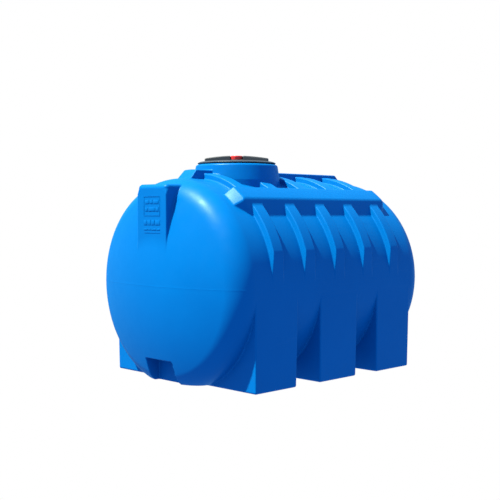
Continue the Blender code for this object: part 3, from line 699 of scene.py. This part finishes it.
def vent_plastic():
    """Semi-gloss red plastic, slightly streaked downward as moulded parts are."""
    made = Surface("vent_red")
    streak = made.ranged(made.noise(180.0, 2.0, (1, 1, 0.1)), 0.0, 1.0)
    tone = made.mix(streak, (0.94, 0.045, 0.045), (1.0, 0.058, 0.058))
    made.bump(made.noise(700.0, 2.0), 0.00003)
    return made.finish(tone, made.ranged(made.noise(90.0), 0.30, 0.40), 0.45)


def grey_plastic():
    made = Surface("vent_grey")
    cloud = made.ranged(made.noise(70.0, 3.0), 0.0, 1.0)
    tone = made.mix(cloud, (0.045, 0.047, 0.050), (0.058, 0.060, 0.064))
    made.bump(made.noise(1100.0, 2.0), 0.00005)
    return made.finish(tone, made.ranged(made.noise(160.0), 0.42, 0.55), 0.4)


def silicone():
    made = Surface("silicone")
    cloud = made.ranged(made.noise(90.0, 2.0), 0.0, 1.0)
    tone = made.mix(cloud, (0.36, 0.35, 0.32), (0.42, 0.41, 0.38))
    made.bump(made.noise(800.0), 0.00003)
    made.shader.inputs["Subsurface Weight"].default_value = 0.2
    made.shader.inputs["Subsurface Radius"].default_value = (0.004, 0.003, 0.002)
    return made.finish(tone, made.ranged(made.noise(220.0), 0.48, 0.60), 0.4)


# ---- the pieces -----------------------------------------------------------------------------------


def dress(piece, body, slot, *nodes):
    piece.data.materials.clear()
    piece.data.materials.append(finishes[slot])
    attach(piece, body)
    if nodes:
        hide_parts(*nodes)


def make_tank():
    skin = wrapped("tank_skin", tank, tank_lines(COARSE, FINE), SKIN_FACES)
    cut(skin, wrapped("hollow", cavity, cavity_lines(), HOLLOW_FACES))
    shade_from(skin, tank)
    dress(skin, "tank", "tank_blue", "tank_shell")


def bar(work, low, high):
    """A low raised bar with softened edges, its back sunk in the wall behind it."""
    made = bmesh.ops.create_cube(work, size=1.0)
    size, middle = Vector(high) - Vector(low), (Vector(high) + Vector(low)) / 2
    bmesh.ops.scale(work, vec=size, verts=made["verts"])
    bmesh.ops.translate(work, vec=middle, verts=made["verts"])
    edges = dict.fromkeys(edge for vert in made["verts"] for edge in vert.link_edges)
    bmesh.ops.bevel(work, geom=list(edges), offset=0.0006, segments=2, profile=0.5, affect="EDGES")


def make_label():
    """Generic raised rules and blocks on the boss, which stand for a moulded-in label."""
    work = bmesh.new()
    front, back, half = BOSS_FACE_Y - LABEL_PROUD, BOSS_FACE_Y + LABEL_SUNK, LABEL_RULE / 2
    for z in (LABEL_FRAME_TOP_Z, LABEL_FRAME_LOW_Z, LABEL_FOOT_Z):
        bar(work, (LABEL_LEFT, front, z - half), (LABEL_RIGHT, back, z + half))
    for x in (LABEL_LEFT, LABEL_RIGHT - LABEL_RULE):
        bar(work, (x, front, LABEL_FRAME_LOW_Z), (x + LABEL_RULE, back, LABEL_FRAME_TOP_Z))
    rows = (  # the height of the middle, the blocks' height, the side margin, the blocks' widths
        (1.017, 0.020, 0.012, (3, 2, 4)),
        (0.977, 0.022, 0.012, (2, 5, 2)),
        (0.904, 0.028, 0.000, (2, 2, 2, 3)),
        (0.866, 0.009, 0.000, (5, 3, 6, 4)),
    )
    for z, tall, margin, widths in rows:
        room = LABEL_RIGHT - LABEL_LEFT - 2 * margin - LABEL_SPACE * (len(widths) - 1)
        x = LABEL_LEFT + margin
        for width in widths:
            end = x + room * width / sum(widths)
            bar(work, (x, front, z - tall / 2), (end, back, z + tall / 2))
            x = end + LABEL_SPACE
    mesh = bpy.data.meshes.new("label_relief")
    work.to_mesh(mesh)
    work.free()
    mesh.shade_smooth()
    mesh.set_sharp_from_angle(angle=math.radians(50))
    dress(add_object("label_relief", mesh), "tank", "tank_blue")


def make_lid():
    cover = wrapped("lid_cover", lid, lid_lines(), LID_FACES)
    shade_from(cover, lid)
    cover.data.transform(Matrix.Translation((0, NECK_Y, 0)) @ Matrix.Rotation(GRIP_ANGLE, 4, "Z"))
    dress(cover, "lid_turn", "lid_black", "lid")


def make_gasket():
    low, high = GASKET_LOW[2], GASKET_HIGH[2]
    outer, inner, bend = GASKET_HIGH[0], GASKET_BORE_RADIUS, GASKET_BEND
    profile = arc((outer - bend, high - bend), bend, 90, 0)
    profile += arc((outer - bend, low + bend), bend, 0, -90)
    profile += arc((inner + bend, low + bend), bend, 270, 180)
    profile += arc((inner + bend, high - bend), bend, 180, 90)
    ring = turned("gasket_ring", profile, 160)
    dress(ring, "lid_lift", "rubber_black", "lid_gasket")


def make_cap():
    """The rain hood: an upside-down cup over the vent's tube, with a small step under its rim."""
    top, bottom, foot = CAP_HIGH[2], CAP_EDGE_Z, CAP_LOW[2]
    wide, narrow = CAP_HIGH[0], CAP_EDGE_RADIUS
    ceiling = top - CAP_PLATE
    inner = VENT_TUBE_RADIUS + GAP
    sleeve = inner + CAP_SLEEVE_WALL
    profile = [(0.0, top), (wide - 0.010, top - 0.0003)]
    profile += arc((wide - 0.0032, top - 0.0036), 0.0032, 82, -8)
    profile += [(wide - 0.0006, top - 0.0075), (wide - 0.0012, top - 0.0080)]
    profile += arc((narrow - 0.0008, bottom + 0.0008), 0.0008, 0, -180, 4)
    profile += [(wide - CAP_WALL - 0.0030, ceiling), (sleeve, ceiling), (sleeve, foot), (inner, foot)]
    pin, stop = CAP_PIN_RADIUS, DISC_TOP + DISC_LIFT + GAP
    profile += [(inner, ceiling), (pin, ceiling), (pin, stop), (0.0, stop)]
    hood = turned("vent_hood", profile, 96)
    dress(hood, "lid_turn", "vent_red", "vent_cap")


def finish_nodes():
    """The CAD solids that stay get their slot's material."""
    slots = {part["node"]: part["material_slot"] for part in frame["record"]["subparts"]}
    for node in ("vent_body", "vent_gasket", "vent_nut", "vent_screen", "vent_disc"):
        for place in bpy.data.objects[node].material_slots:
            place.material = finishes[slots[node]]


# ---- camera, light and floor ----------------------------------------------------------------------


def make_camera():
    data = bpy.data.cameras.new("camera")
    data.sensor_width = 36.0
    data.lens = CAMERA_LENS
    camera = bpy.data.objects.new("camera", data)
    camera.location = CAMERA_PLACE
    camera.rotation_euler = (math.radians(90 - CAMERA_DIP), 0.0, math.radians(CAMERA_TURN))
    bpy.context.scene.collection.objects.link(camera)
    bpy.context.scene.camera = camera


def make_floor():
    """A white floor that shows to the camera and neither lights nor shades the tank."""
    work = bmesh.new()
    bmesh.ops.create_grid(work, x_segments=1, y_segments=1, size=FLOOR_REACH)
    mesh = bpy.data.meshes.new("floor")
    work.to_mesh(mesh)
    work.free()
    floor = add_object("floor", mesh)
    paint = bpy.data.materials.new("floor_white")
    paint.use_nodes = True
    tree = paint.node_tree
    tree.nodes.remove(tree.nodes["Principled BSDF"])
    glow = tree.nodes.new("ShaderNodeEmission")
    glow.inputs["Color"].default_value = (1.0, 1.0, 1.0, 1.0)
    tree.links.new(glow.outputs["Emission"], tree.nodes["Material Output"].inputs["Surface"])
    mesh.materials.append(paint)
    floor.visible_diffuse = False
    floor.visible_glossy = False
    floor.visible_shadow = False


def sun_direction(azimuth, elevation):
    """The way to a sun that stands azimuth degrees to the right of the -Y direction."""
    a, e = math.radians(azimuth), math.radians(elevation)
    return Vector((math.sin(a) * math.cos(e), -math.cos(a) * math.cos(e), math.sin(e)))


def make_world():
    """White behind everything; as light, a soft blue sky and nearly the same again from below."""
    world = bpy.data.worlds.new("studio")
    bpy.context.scene.world = world
    world.use_nodes = True
    nodes, links = world.node_tree.nodes, world.node_tree.links
    backdrop = nodes["Background"]
    backdrop.inputs["Color"].default_value = (1.0, 1.0, 1.0, 1.0)
    sky = nodes.new("ShaderNodeBackground")
    sky.inputs["Color"].default_value = (*SKY_COLOUR, 1.0)
    place = nodes.new("ShaderNodeTexCoord")
    parts = nodes.new("ShaderNodeSeparateXYZ")
    links.new(place.outputs["Generated"], parts.inputs["Vector"])
    fade = nodes.new("ShaderNodeMapRange")
    fade.interpolation_type = "SMOOTHSTEP"
    fade.inputs["From Min"].default_value = -0.45
    fade.inputs["From Max"].default_value = 0.35
    fade.inputs["To Min"].default_value = SKY_BELOW
    fade.inputs["To Max"].default_value = SKY_ABOVE
    links.new(parts.outputs["Z"], fade.inputs["Value"])
    links.new(fade.outputs["Result"], sky.inputs["Strength"])
    seen = nodes.new("ShaderNodeLightPath")
    blend = nodes.new("ShaderNodeMixShader")
    links.new(seen.outputs["Is Camera Ray"], blend.inputs["Fac"])
    links.new(sky.outputs["Background"], blend.inputs[1])
    links.new(backdrop.outputs["Background"], blend.inputs[2])
    links.new(blend.outputs["Shader"], nodes["World Output"].inputs["Surface"])


def make_sun():
    data = bpy.data.lights.new("key", "SUN")
    data.energy = SUN_POWER
    data.color = SUN_COLOUR
    data.angle = math.radians(SUN_WIDTH)
    key = bpy.data.objects.new("key", data)
    key.rotation_euler = sun_direction(SUN_AZIMUTH, SUN_ELEVATION).to_track_quat("Z", "Y").to_euler()
    bpy.context.scene.collection.objects.link(key)


make_camera()
finishes = {
    "tank_blue": moulded_blue(),
    "lid_black": lid_plastic(),
    "rubber_black": rubber(),
    "vent_red": vent_plastic(),
    "vent_grey": grey_plastic(),
    "silicone": silicone(),
}
make_tank()
make_label()
make_lid()
make_gasket()
make_cap()
finish_nodes()
make_floor()
make_world()
make_sun()
bpy.context.scene.view_settings.view_transform = "Standard"
